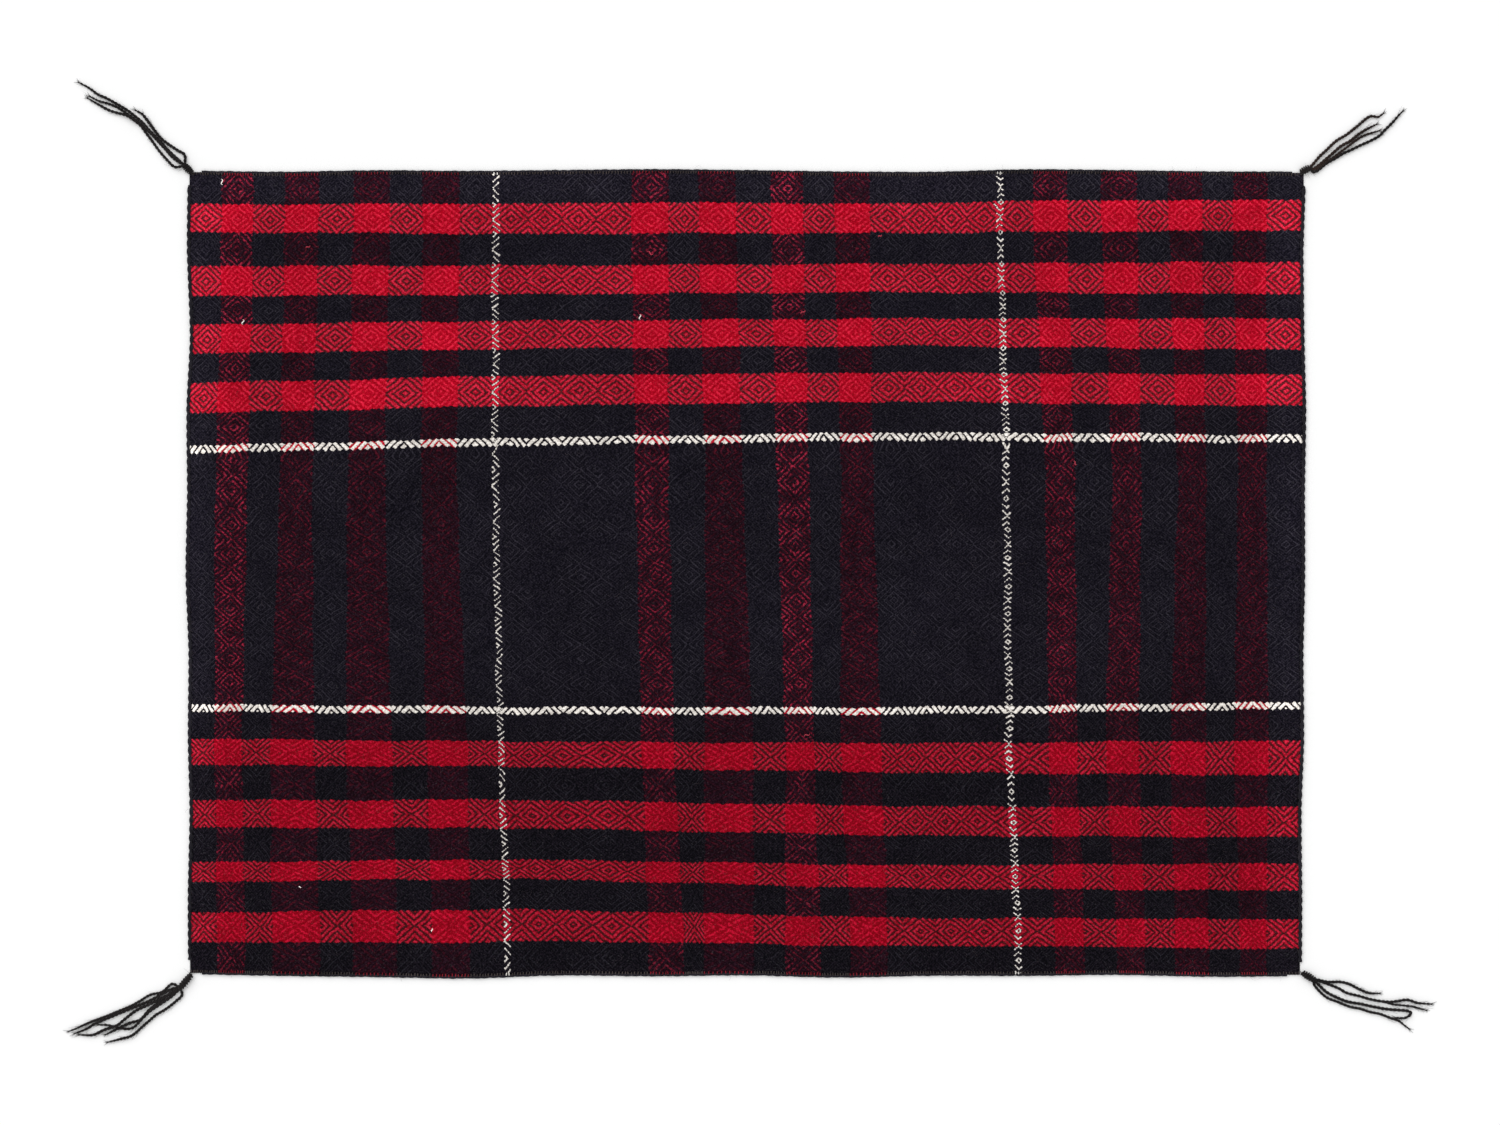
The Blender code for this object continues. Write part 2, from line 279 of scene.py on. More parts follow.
def fold_back(value, size):
    """A triangle wave: 0 to size and back to 0 over twice the size."""
    return np.abs((value / size / 2 + 0.5) % 1.0 - 0.5) * 2 * size


def weft_lift(u, v):
    """How far the weft lies over the warp at loom places, from 0 to 1, a wave of four threads."""
    threading = fold_back(u - 0.5, CELL / 2)
    treadling = fold_back(v - 0.5 + CELL / 2, CELL / 2)
    return fold_back(threading - treadling + 0.5, 2.0) / 2


def web_height(u, v):
    """Height of the web's face: its thickness, twill ridges, and the same low cockles as its solid,
    rounded down into the cords within the last two threads."""
    x, y = lay(u, v)
    swell = np.sin(2 * np.pi * x / 0.450) * np.cos(2 * np.pi * y / 0.370)
    slant = np.sin(2 * np.pi * (x - y) / 0.290)
    cockle = 0.30 * swell + 0.20 * slant
    ridges = TWILL_RELIEF * (2 * weft_lift(u, v) - 1)
    inner = np.minimum(np.minimum(u, WARPS - u), np.minimum(v, PICKS - v))
    face = WEB_TOP + cockle * MM + ridges
    return EDGE_HEIGHT + (face - EDGE_HEIGHT) * ramp(inner, -0.5, 3.0)


def web_faces(columns, rows):
    """Triangles of the face, split along the twill lines, then a wall round it and long strips below.

    Points are numbered row by row from the top left, and then once more round the underside.
    """
    grid = np.arange(columns * rows).reshape(rows, columns)
    p00, p10 = grid[:-1, :-1], grid[:-1, 1:]
    p01, p11 = grid[1:, :-1], grid[1:, 1:]
    across = np.arange(columns - 1) * GRID_THREADS + 1
    down = np.arange(rows - 1) * GRID_THREADS + 1 + CELL // 2
    rising = (across % CELL < CELL // 2)[None, :] == (down % CELL < CELL // 2)[:, None]
    first = np.where(rising[..., None], np.stack([p00, p01, p11], -1), np.stack([p00, p01, p10], -1))
    second = np.where(rising[..., None], np.stack([p00, p11, p10], -1), np.stack([p01, p11, p10], -1))
    face = np.stack([first, second], axis=2).reshape(-1, 3)
    border = np.concatenate([grid[:-1, 0], grid[-1, :-1], grid[:0:-1, -1], grid[0, :0:-1]])
    under = np.full(columns * rows, -1)
    under[border] = columns * rows + np.arange(len(border))
    after = np.roll(border, -1)
    wall = np.stack([after, border, under[border], under[after]], axis=-1)
    left, right = under[grid[:, 0]], under[grid[:, -1]]
    strips = np.stack([left[1:-2], right[1:-2], right[2:-1], left[2:-1]], axis=-1)
    top_strip = [*under[grid[0]], right[1], left[1]]
    bottom_strip = [left[-2], right[-2], *under[grid[-1, ::-1]]]
    faces = face.tolist() + wall.tolist() + strips.tolist() + [top_strip, bottom_strip]
    return faces, border, len(face) + len(wall)


def make_web(material):
    """The woven web as a closed shell: a vertex every GRID_THREADS threads of its face."""
    across = np.arange(0, WARPS + 1, GRID_THREADS, dtype=float)
    down = np.arange(0, PICKS + 1, GRID_THREADS, dtype=float)
    u, v = (table.ravel() for table in np.meshgrid(across, down))
    x, y = lay(u, v)
    faces, border, smooth_faces = web_faces(len(across), len(down))
    top = np.stack([x, y, web_height(u, v)], axis=-1)
    below = np.stack([x[border], y[border], np.full(len(border), WEB_UNDERSIDE)], axis=-1)
    threads = np.stack([np.append(u, u[border]), np.append(v, v[border])], axis=-1)
    corners = np.concatenate([np.asarray(face) for face in faces])
    web = make_mesh("woven_web", np.concatenate([top, below]), faces, threads[corners])
    shading = np.arange(len(faces)) < smooth_faces
    web.data.polygons.foreach_set("use_smooth", shading)
    web.data.materials.append(material)
    return web


class Yarns:
    """Gathers tubes of yarn for one piece: points, faces and, for each corner, its thread place."""

    def __init__(self):
        self.points = []
        self.faces = []
        self.threads = []
        self.count = 0

    def tube(self, line, radius, sides, flat=1.0, thread=None):
        """A closed tube round a line of points: rings of so many sides, across the line's run.

        Its thread place is (metres along, share of the way round), or (thread, share) if given.
        """
        line = np.asarray(line, float)
        run = np.gradient(line, axis=0)
        run /= np.linalg.norm(run, axis=1, keepdims=True)
        aside = np.cross(run, (0.0, 0.0, 1.0))
        aside /= np.maximum(np.linalg.norm(aside, axis=1, keepdims=True), 1e-9)
        up = np.cross(aside, run)
        radius = np.broadcast_to(radius, len(line))
        turn = 2 * np.pi * np.arange(sides) / sides
        ring = (
            np.cos(turn)[None, :, None] * aside[:, None, :]
            + np.sin(turn)[None, :, None] * up[:, None, :] * flat
        )
        points = (line[:, None, :] + ring * radius[:, None, None]).reshape(-1, 3)
        rings = len(line)
        grid = np.arange(rings * sides).reshape(rings, sides)
        onward = np.roll(grid, -1, axis=1)
        walls = np.stack([grid[:-1], onward[:-1], onward[1:], grid[1:]], axis=-1).reshape(-1, 4)
        length = np.append(0.0, np.cumsum(np.linalg.norm(np.diff(line, axis=0), axis=1)))
        place = length if thread is None else np.full(rings, float(thread))
        start, end = np.repeat(place[:-1], sides), np.repeat(place[1:], sides)
        share = np.tile(np.arange(sides) / sides, rings - 1)
        step = 1.0 / sides
        walls_uv = np.stack(
            [
                np.stack([start, share], -1),
                np.stack([start, share + step], -1),
                np.stack([end, share + step], -1),
                np.stack([end, share], -1),
            ],
            axis=1,
        )
        caps = [grid[0, ::-1], grid[-1]]
        self.faces += (walls + self.count).tolist() + [(cap + self.count).tolist() for cap in caps]
        around = np.arange(sides) / sides
        self.threads.append(walls_uv.reshape(-1, 2))
        self.threads.append(np.stack([np.full(sides, place[0]), around[::-1]], -1))
        self.threads.append(np.stack([np.full(sides, place[-1]), around], -1))
        self.points.append(points)
        self.count += len(points)

    def plied(self, line, ply_radius, plies, pitch, sides, taper=None, start_turn=0.0):
        """Plies laid round a line: each one a helix of the given pitch, one ply radius out."""
        line = np.asarray(line, float)
        run = np.gradient(line, axis=0)
        run /= np.linalg.norm(run, axis=1, keepdims=True)
        aside = np.cross(run, (0.0, 0.0, 1.0))
        aside /= np.linalg.norm(aside, axis=1, keepdims=True)
        up = np.cross(aside, run)
        length = np.append(0.0, np.cumsum(np.linalg.norm(np.diff(line, axis=0), axis=1)))
        thin = np.ones(len(line)) if taper is None else taper
        for ply in range(plies):
            turn = (2 * np.pi * (length / pitch + ply / plies + start_turn))[:, None]
            out = (ply_radius * 0.92 * thin)[:, None]
            helix = line + (np.cos(turn) * aside + np.sin(turn) * up) * out
            self.tube(helix, ply_radius * thin, sides)

    def finish(self, name, material):
        thing = make_mesh(name, np.concatenate(self.points), self.faces, np.concatenate(self.threads))
        thing.data.materials.append(material)
        return thing


def spaced_line(points, step):
    """A smooth curve through given points, a Catmull-Rom spline, with points about step apart."""
    points = np.asarray(points, float)
    ends = np.concatenate([2 * points[:1] - points[1:2], points, 2 * points[-1:] - points[-2:-1]])
    t = np.linspace(0, 1, 12, endpoint=False)[:, None, None]
    a, b, c, d = ends[:-3], ends[1:-2], ends[2:-1], ends[3:]
    curve = 0.5 * (
        2 * b + (c - a) * t + (2 * a - 5 * b + 4 * c - d) * t**2 + (3 * b - 3 * c + d - a) * t**3
    )
    curve = np.concatenate([curve.transpose(1, 0, 2).reshape(-1, points.shape[1]), points[-1:]])
    length = np.append(0.0, np.cumsum(np.linalg.norm(np.diff(curve, axis=0), axis=1)))
    at = np.linspace(0, length[-1], max(3, int(length[-1] / step) + 1))
    return np.stack([np.interp(at, length, column) for column in curve.T], axis=-1)


# Edge cords: two plies with a long lay along the sides, three close ones along the ends
SIDE_PLY = 1.25 * MM
SIDE_LAY = 21.0 * MM
END_PLY = 0.92 * MM
END_LAY = 30.0 * MM

# Warp loops that show just inside each end cord
LOOP_PITCH_THREADS = 1.7
LOOP_REACH = 4.2 * MM


def make_side_cord(side, material):
    """Two plies laid along one side, their crests rising out of the turned wefts."""
    sign = -1 if side == "left" else 1
    y = np.arange(EDGES[side][0][0], EDGES[side][0][-1], 1.3 * MM)
    x = edge_at(side, y) + sign * 0.2 * MM
    line = np.stack([x, y, np.full(len(y), 2.3 * MM)], axis=-1)
    yarns = Yarns()
    yarns.plied(line, SIDE_PLY, 2, SIDE_LAY, 8)
    return yarns.finish(f"twined_cord_{side}", material)


def make_end_cord(end, material):
    """Three close plies along one end, laid so long that they look almost smooth."""
    sign = -1 if end == "bottom" else 1
    x = np.arange(EDGES[end][0][0] - 2 * MM, EDGES[end][0][-1] + 2 * MM, 1.6 * MM)
    swell = 1 + 0.10 * np.sin(x * 210) + 0.06 * np.sin(x * 517 + 1.0)
    line = np.stack([x, edge_at(end, x) + sign * 0.1 * MM, np.full(len(x), 1.9 * MM)], axis=-1)
    yarns = Yarns()
    yarns.plied(line, END_PLY, 3, END_LAY, 7, taper=swell)
    return yarns.finish(f"twined_cord_{end}", material)


def make_warp_loops(end, material):
    """The warp's turning loops: short arches from the web's face over to the end cord."""
    inward = -1 if end == "top" else 1
    random = np.random.default_rng(5 if end == "top" else 6)
    yarns = Yarns()
    for warp in np.arange(1.0, WARPS - 1.0, LOOP_PITCH_THREADS):
        x = float(np.interp(warp, np.arange(WARPS + 1), WARP_PLACES[0 if end == "top" else -1]))
        x = world_x(x) + random.uniform(-0.3, 0.3) * MM
        lean = random.uniform(-0.7, 0.9) * MM
        reach = LOOP_REACH * random.uniform(0.75, 1.15)
        y = edge_at(end, x)
        share = np.linspace(0, 1, 5)
        line = np.stack(
            [
                x + lean * share,
                y + inward * reach * share,
                (1.6 + 1.9 * np.sin(np.pi * np.minimum(share * 1.15, 1.0))) * MM,
            ],
            axis=-1,
        )
        yarns.tube(line, np.array([0.5, 0.62, 0.66, 0.6, 0.4]) * MM, 5, thread=warp)
    return yarns.finish(f"warp_loops_{end}", material)


# Corner tassels, as pixels of the photograph: the neck from the cloth's corner to the root, and each
# strand onward from there. "over" lists where a strand rides over others.
STRAND_PLY = 1.0 * MM
STRAND_LAY = 9.0 * MM
TASSELS = {
    "top_left": {
        "neck": [(191, 172), (188, 169), (185, 166)],
        "strands": [
            {"route": [(184.5, 155), (177, 150), (164, 141), (158, 135), (147, 120), (142, 114), (137, 111)]},
            {
                "route": [(168, 150), (158, 139), (150, 131), (142, 122), (133.5, 115), (127, 110),
                    (117, 104),
                          (106, 98), (98, 94.5), (89, 88), (80, 83)],
                "over": (150, 131),
            },
            {
                "route": [(175, 167), (168, 161), (160, 152), (152, 141), (146, 133), (140, 125), (131, 118),
                          (125, 115), (111, 111), (101, 106), (89, 99)],
                "over": (131, 118),
            },
            {"route": [(173, 158), (164, 148), (144, 127), (120, 109), (109, 104), (99, 101), (91, 97)]},
        ],
    },
    "top_right": {
        "neck": [(1301, 172), (1305, 170), (1309, 168)],
        "strands": [
            {
                "route": [(1314, 163), (1320, 156), (1326, 150.5), (1336, 141), (1346, 135), (1355, 128),
                          (1361, 123), (1367, 118), (1372, 116), (1378, 117), (1382.5, 114)],
                "brown": True,
            },
            {
                "route": [(1315, 168), (1333, 153), (1341, 146), (1350, 141), (1359, 134),
                    (1367, 129), (1375, 125)],
                "brown": True,
            },
            {
                "route": [(1316, 169), (1328, 161), (1336, 155.5), (1355, 141), (1361, 137), (1368, 134),
                          (1378, 131)],
                "brown": True,
                "over": (1345, 148),
            },
            {
                "route": [(1315, 172), (1327, 163), (1336, 158), (1344, 153), (1351, 150),
                    (1361, 145), (1370, 141),
                          (1379, 136), (1386, 129), (1393, 122), (1398, 116), (1402, 112)],
            },
        ],
    },
    "bottom_left": {
        "neck": [(191, 975), (188, 980), (183, 986), (180, 988)],
        "strands": [
            {
                "route": [(172, 984), (162, 992), (150, 995), (140, 1001), (131, 1006), (119, 1011),
                    (107, 1016),
                          (91, 1022), (75, 1029), (70, 1031)],
            },
            {"route": [(172, 989), (155, 998), (140, 1005), (99, 1022), (86.5, 1029), (76, 1033)]},
            {
                "route": [(172, 993), (158, 1000), (148, 1005), (135.5, 1011), (125, 1019), (117, 1025.5),
                          (104, 1030), (93, 1035), (81, 1035)],
                "over": (120, 1022),
            },
            {"route": [(172, 996), (162, 1003), (150, 1011), (140, 1020), (129, 1023.5), (107, 1034)]},
            {
                "route": [(182, 995), (175, 1002), (166, 1009), (156, 1015), (149, 1021), (141, 1028),
                          (135.5, 1033), (129, 1037), (121, 1039), (109, 1042)],
            },
            {
                "route": [(172, 992), (158, 1003), (148, 1011), (135.5, 1026), (125, 1029),
                    (109, 1025.5), (100, 1025)],
                "over": (140, 1018),
            },
        ],
    },
    "bottom_right": {
        "neck": [(1303, 973), (1307, 976), (1313, 979)],
        "strands": [
            {"route": [(1319, 980), (1328, 982), (1340, 982), (1349, 984), (1359, 989), (1368.5, 993),
                (1378, 993.5)]},
            {
                "route": [(1322, 982), (1338, 988), (1347, 993), (1359, 996), (1369, 999), (1379, 1001),
                          (1390.5, 1002), (1399, 1001), (1408, 1000), (1418, 1003), (1430, 1004)],
            },
            {
                "route": [(1322, 988), (1328, 993), (1338, 998), (1349, 1002), (1361, 1004), (1372, 1006.5),
                          (1386, 1009), (1397, 1010), (1408, 1011), (1411, 1014), (1405, 1018), (1397, 1018)],
            },
            {
                "route": [(1315, 986), (1326, 997), (1338, 1002), (1349, 1006.5), (1361, 1009), (1370, 1012),
                          (1380, 1014), (1390.5, 1018), (1399, 1021), (1404, 1025), (1408, 1028)],
            },
            {"route": [(1384, 1002), (1393, 1004.5), (1403, 1005.5), (1414, 1007),
                (1425, 1010)], "split": True},
        ],
    },
}


def floor_line(pixels, step, radius, lift=0.0, over=None):
    """A route of photo pixels as points on the floor: one radius up, higher near its start by lift,
    and over a crossing strand by a hump."""
    pixels = np.asarray(pixels, float)
    flat = np.stack([world_x(pixels[:, 0]), world_y(pixels[:, 1])], axis=-1)
    line = spaced_line(flat, step)
    length = np.append(0.0, np.cumsum(np.linalg.norm(np.diff(line, axis=0), axis=1)))
    z = radius + lift * np.exp(-((length / (22 * MM)) ** 2))
    if over is not None:
        place = np.array([world_x(over[0]), world_y(over[1])])
        z = z + 2.6 * MM * np.exp(-((np.linalg.norm(line - place, axis=1) / (11 * MM)) ** 2))
    return np.column_stack([line, z])


def add_fray(yarns, line, count, random):
    """Loose fibres that stand off a strand, more of them towards its tip."""
    for _ in range(count):
        share = random.uniform() ** 0.6
        at = int(share * (len(line) - 3)) + 1
        run = line[at + 1] - line[at - 1]
        run /= np.linalg.norm(run)
        aside = np.array([run[1], -run[0], 0.0]) * random.choice([-1, 1])
        length = random.uniform(3, 9) * MM
        t = np.linspace(0, 1, 5)[:, None]
        bend = random.uniform(-0.7, 0.7)
        hair = line[at] + (run * (t + bend * t**2) + aside * (0.75 * t - 0.25 * t**2)) * length
        hair[:, 2] = np.maximum(hair[:, 2] + random.uniform(-1.0, 0.8) * MM * t[:, 0], 0.15 * MM)
        yarns.tube(hair, np.linspace(0.13, 0.05, 5) * MM, 3)


def add_tip(yarns, line, random):
    """A strand's end: a few loosened plies that fan out and thin to nothing."""
    run = line[-1] - line[-4]
    run /= np.linalg.norm(run)
    aside = np.array([run[1], -run[0], 0.0])
    for spread in (-0.35, -0.1, 0.12, 0.4):
        length = random.uniform(5, 10) * MM
        t = np.linspace(0, 1, 6)[:, None]
        hair = line[-2] + (run * t + aside * spread * t**1.5) * length
        hair[:, 2] = np.maximum(hair[:, 2] * (1 - 0.6 * t[:, 0]), 0.35 * MM)
        yarns.tube(hair, np.linspace(0.55, 0.08, 6) * MM, 5)


def make_tassel(corner, tassel, material, brown_material):
    """One corner's tassel: plied strands that run from the edge cords through a wound knot."""
    random = np.random.default_rng(sum(map(ord, corner)))
    yarns, browns = Yarns(), Yarns()
    neck = tassel["neck"]
    for index, strand in enumerate(tassel["strands"]):
        target = browns if strand.get("brown") else yarns
        split = strand.get("split", False)
        route = strand["route"] if split else [*neck, *strand["route"]]
        ply = STRAND_PLY * (0.7 if split else random.uniform(0.92, 1.1))
        lift = 0.0 if split else (0.4 + 0.9 * (index % 3)) * MM
        line = floor_line(route, 0.9 * MM, 1.95 * ply, lift, strand.get("over"))
        length = np.linspace(0, 1, len(line))
        taper = 1 - 0.35 * ramp(length, 0.86, 1.0)
        target.plied(line, ply, 2, STRAND_LAY * random.uniform(0.9, 1.15), 6, taper, random.uniform())
        add_fray(target, line, 46, random)
        add_tip(target, line, random)
    add_knot(yarns, neck, random)
    made = [yarns.finish(f"corner_tassel_{corner}", material)]
    if browns.points:
        made.append(browns.finish(f"brown_strands_{corner}", brown_material))
    return made


def add_knot(yarns, neck, random):
    """The knot: a yarn wound round the neck in tight slanting turns, and one turn along it."""
    start = np.array([world_x(neck[0][0]), world_y(neck[0][1]), 2.6 * MM])
    end = np.array([world_x(neck[-1][0]), world_y(neck[-1][1]), 2.9 * MM])
    along = end - start
    reach = np.linalg.norm(along) + 3.0 * MM
    along /= np.linalg.norm(along)
    aside = np.array([along[1], -along[0], 0.0])
    t = np.linspace(0, 1, 90)
    turns = 3.0 + reach / (6 * MM)
    angle = 2 * np.pi * turns * t
    girth = (2.3 + 0.9 * np.sin(np.pi * t)) * MM
    wound = (
        start
        + np.outer(reach * t - 1.0 * MM, along)
        + np.outer(np.cos(angle) * girth * 1.12, aside)
        + np.outer(np.sin(angle) * girth * 0.92, (0, 0, 1))
    )
    wound[:, 2] = np.maximum(wound[:, 2] + 0.8 * MM, 1.15 * MM)
    yarns.tube(wound, 1.1 * MM, 7)
    core_t = np.linspace(0, 1, 12)
    core = start + np.outer(reach * core_t - 1.5 * MM, along) + np.array([0, 0, 0.6 * MM])
    yarns.tube(core, (1.2 + 1.3 * np.sin(np.pi * core_t)) * MM, 10)
    add_fray(yarns, wound, 14, random)


# Bits of lint and slubs caught in the web, as photo pixels: (x, y, length in millimetres)
CREAM_LINT = [(222, 182, 7), (640, 317, 6), (243, 322, 6), (300, 887, 3), (432, 930, 4), (995, 205, 4)]
RED_SLUBS = [(650, 253, 8), (803, 312, 7), (308, 247, 6), (880, 236, 5), (1075, 463, 6), (807, 735, 7)]


def make_lint(name, spots, material):
    """Short curled bits of fibre that lie on the web's face."""
    random = np.random.default_rng(len(spots) * 7 + len(name))
    yarns = Yarns()
    for x_pixel, y_pixel, length in spots:
        heading = random.uniform(0, np.pi)
        t = np.linspace(-0.5, 0.5, 7)
        x = world_x(x_pixel) + length * MM * (t * np.cos(heading) + 0.25 * np.sin(6 * t) * np.sin(heading))
        y = world_y(y_pixel) + length * MM * (t * np.sin(heading) - 0.25 * np.sin(6 * t) * np.cos(heading))
        z = np.full(len(t), WEB_TOP + 0.65 * MM)
        yarns.tube(np.stack([x, y, z], -1), np.array([0.15, 0.4, 0.55, 0.6, 0.5, 0.35, 0.12]) * MM, 6)
    return yarns.finish(name, material)


def make_stray_fibres(material):
    """Wool hairs that stand a little off the web's face and its borders."""
    random = np.random.default_rng(21)
    yarns = Yarns()
    for index in range(1500):
        u, v = random.uniform(2, WARPS - 2), random.uniform(2, PICKS - 2)
        if index % 3 == 0:
            side = random.integers(4)
            u = (0.5, WARPS - 0.5, u, u)[side]
            v = (v, v, 0.5, PICKS - 0.5)[side]
        x, y = lay(u, v)
        heading = random.uniform(0, 2 * np.pi)
        length = random.uniform(3, 9) * MM
        curl = random.uniform(-1.6, 1.6)
        t = np.linspace(0, 1, 5)
        hair = np.stack(
            [
                x + length * t * np.cos(heading + curl * t),
                y + length * t * np.sin(heading + curl * t),
                WEB_TOP + (0.1 + random.uniform(0.5, 2.4) * np.sin(np.pi * 0.8 * t)) * MM,
            ],
            axis=-1,
        )
        yarns.tube(hair, np.linspace(0.10, 0.04, 5) * MM, 3, thread=u)
    return yarns.finish("stray_fibres", material)


def add_node(tree, kind, values=None, **settings):
    """A node with its settings, and its inputs set to values or linked from sockets."""
    made = tree.nodes.new(kind)
    for name, value in settings.items():
        setattr(made, name, value)
    for socket, value in (values or {}).items():
        if isinstance(value, bpy.types.NodeSocket):
            tree.links.new(value, made.inputs[socket])
        else:
            made.inputs[socket].default_value = value
    return made


def calc(tree, operation, *values):
    return add_node(tree, "ShaderNodeMath", dict(enumerate(values)), operation=operation).outputs[0]


def soft_step(tree, value, low, high, result=(0.0, 1.0)):
    """0 up to low and 1 from high, eased between them, or the two results instead."""
    values = {"Value": value, 1: low, 2: high, 3: result[0], 4: result[1]}
    kind = {"interpolation_type": "SMOOTHSTEP"}
    return add_node(tree, "ShaderNodeMapRange", values, **kind).outputs["Result"]


def mix_colour(tree, factor, first, second):
    mixed = add_node(tree, "ShaderNodeMix", data_type="RGBA", blend_type="MIX")
    for socket, value in ((0, factor), (6, first), (7, second)):
        if isinstance(value, bpy.types.NodeSocket):
            tree.links.new(value, mixed.inputs[socket])
        elif socket == 0:
            mixed.inputs[socket].default_value = value
        else:
            mixed.inputs[socket].default_value = (*value, 1.0)
    return mixed.outputs[2]


def scale_colour(tree, colour, amount):
    values = {0: colour, "Scale": amount}
    return add_node(tree, "ShaderNodeVectorMath", values, operation="SCALE").outputs["Vector"]


def noise(tree, vector, scale, detail=2.0, roughness=0.5):
    values = {"Vector": vector, "Scale": scale, "Detail": detail, "Roughness": roughness}
    made = add_node(tree, "ShaderNodeTexNoise", values, noise_dimensions="3D")
    return made.outputs["Fac"]


def new_group(name, inputs, outputs):
    """An empty node group with the named sockets, each given as its type."""
    tree = bpy.data.node_groups.new(name, "ShaderNodeTree")
    for direction, sockets in (("INPUT", inputs), ("OUTPUT", outputs)):
        for label, kind in sockets.items():
            tree.interface.new_socket(label, in_out=direction, socket_type=f"NodeSocket{kind}")
    return tree, tree.nodes.new("NodeGroupInput").outputs, tree.nodes.new("NodeGroupOutput").inputs


def place_group(tree, group, values):
    made = tree.nodes.new("ShaderNodeGroup")
    made.node_tree = group
    for socket, value in values.items():
        if isinstance(value, bpy.types.NodeSocket):
            tree.links.new(value, made.inputs[socket])
        else:
            made.inputs[socket].default_value = value
    return made.outputs


def higher_thread(tree, place, arch):
    """Of the two threads nearest a place, the count and the height of the one that stands higher.

    A thread's height is its arch there plus its round section, which falls off to both sides.
    """
    count = calc(tree, "FLOOR", place)
    aside = calc(tree, "SUBTRACT", calc(tree, "FRACT", place), 0.5)
    onward = calc(tree, "SIGN", aside)
    fall = calc(tree, "MULTIPLY", calc(tree, "SUBTRACT", calc(tree, "ABSOLUTE", aside), 0.5), ROUNDNESS)
    own = calc(tree, "SUBTRACT", arch(count), fall)
    other = calc(tree, "ADD", arch(calc(tree, "ADD", count, onward)), fall)
    taken = calc(tree, "GREATER_THAN", other, own)
    return calc(tree, "MULTIPLY_ADD", onward, taken, count), calc(tree, "MAXIMUM", own, other)


def twill_draft_group():
    """Which yarn shows at each place of a diamond twill, how high it stands and by how much.

    Threading and treadling are triangle waves of CELL threads, and each float is an arch, a wave
    of four threads along its yarn. The higher yarn of the two systems shows.
    """
    tree, given, gives = new_group(
        "diamond_twill_draft",
        {"Threads": "Vector", "Weft Cover": "Float"},
        {"Weft Shows": "Float", "Height": "Float", "Lead": "Float", "Warp": "Float", "Pick": "Float"},
    )
    parts = add_node(tree, "ShaderNodeSeparateXYZ", {0: given["Threads"]}).outputs
    u, v = parts["X"], parts["Y"]
    half = CELL / 2
    threading = calc(tree, "PINGPONG", calc(tree, "SUBTRACT", u, 0.5), half)
    treadling = calc(tree, "PINGPONG", calc(tree, "ADD", v, half - 0.5), half)

    def weft_arch(pick):
        tread = calc(tree, "PINGPONG", calc(tree, "ADD", pick, half), half)
        wave = calc(tree, "ADD", calc(tree, "SUBTRACT", threading, tread), 0.5)
        return calc(tree, "MULTIPLY", calc(tree, "PINGPONG", wave, 2.0), 0.5)

    def warp_arch(warp):
        shaft = calc(tree, "PINGPONG", warp, half)
        wave = calc(tree, "ADD", calc(tree, "SUBTRACT", shaft, treadling), 0.5)
        return calc(tree, "MULTIPLY_ADD", calc(tree, "PINGPONG", wave, 2.0), -0.5, 1.0)

    pick, weft_height = higher_thread(tree, v, weft_arch)
    warp, warp_height = higher_thread(tree, u, warp_arch)
    weft_height = calc(tree, "ADD", weft_height, given["Weft Cover"])
    lead = calc(tree, "SUBTRACT", weft_height, warp_height)
    tree.links.new(soft_step(tree, lead, -0.08, 0.08), gives["Weft Shows"])
    tree.links.new(calc(tree, "SMOOTH_MAX", weft_height, warp_height, 0.1), gives["Height"])
    tree.links.new(calc(tree, "ABSOLUTE", lead), gives["Lead"])
    tree.links.new(warp, gives["Warp"])
    tree.links.new(pick, gives["Pick"])
    return tree


def near(tree, value, middle, reach):
    """1 where a whole count lies within reach of the middle, else 0."""
    return calc(tree, "COMPARE", calc(tree, "ADD", value, 0.5), middle, reach)


def red_cells(tree, cell, period):
    """1 in the odd cells below RED_CELLS_LAST of each period, else 0."""
    place = calc(tree, "FLOORED_MODULO", cell, period)
    odd = calc(tree, "GREATER_THAN", calc(tree, "FLOORED_MODULO", cell, 2.0), 0.5)
    return calc(tree, "MULTIPLY", odd, calc(tree, "LESS_THAN", place, RED_CELLS_LAST - 0.5))


